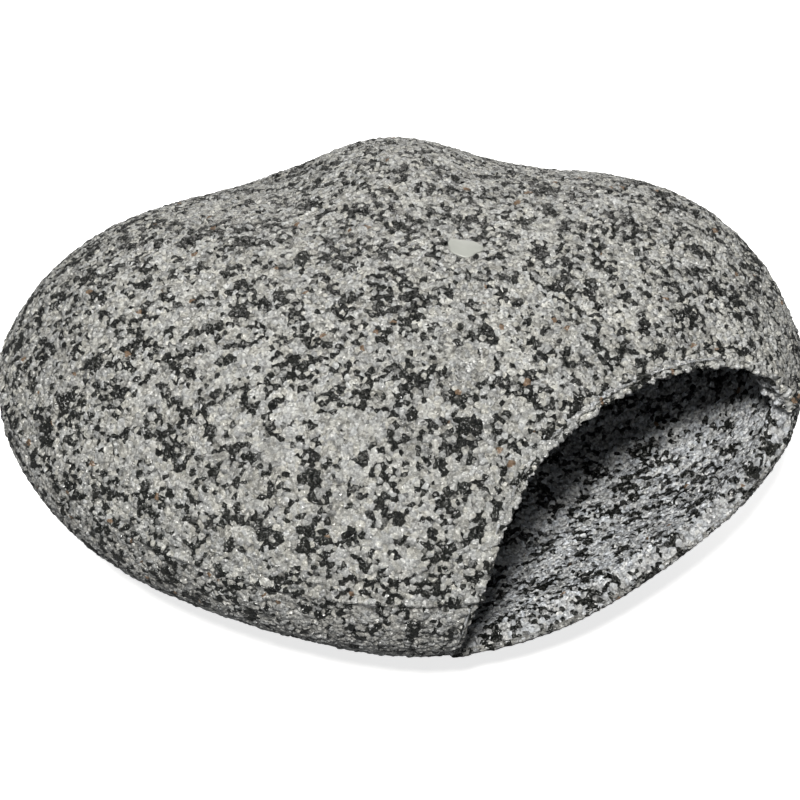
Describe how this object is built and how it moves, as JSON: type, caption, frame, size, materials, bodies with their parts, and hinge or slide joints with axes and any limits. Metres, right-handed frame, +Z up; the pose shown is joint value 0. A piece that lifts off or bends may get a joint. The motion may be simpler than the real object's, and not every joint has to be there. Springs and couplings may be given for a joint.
{
  "type": "aquarium cave ornament",
  "caption": "Hollow pebble-shaped aquarium cave of cast resin with a granite-look sand coat, an oval side mouth and a flat underside.",
  "frame": {"origin": "on the ground plane, below the middle of the pebble's outline seen from above", "axes": "+X along the pebble's length to the mouth's right end, +Y to the back, +Z up; the mouth faces the front right, about 47 degrees from +X towards -Y"},
  "size_m": [0.161, 0.1232, 0.0711],
  "materials": {
    "cast_resin": "matt dark grey cast resin filled with stone powder",
    "epoxy_bead": "cured epoxy, slightly glossy",
    "outer_grit": "bonded quartz grit, white, grey and glossy black grains",
    "chamber_grit": "bonded quartz grit, slightly cooler and more matt",
    "quartz": "smooth pale milky quartz"
  },
  "bodies": {
    "root": {"upper_shell": "cast_resin", "lower_shell": "cast_resin", "seam_bead": "epoxy_bead", "dome_grit": "outer_grit", "base_grit": "outer_grit", "chamber_roof_grit": "chamber_grit", "chamber_floor_grit": "chamber_grit", "mouth_rim_grit": "chamber_grit", "quartz_chip": "quartz"}
  },
  "joints": []
}
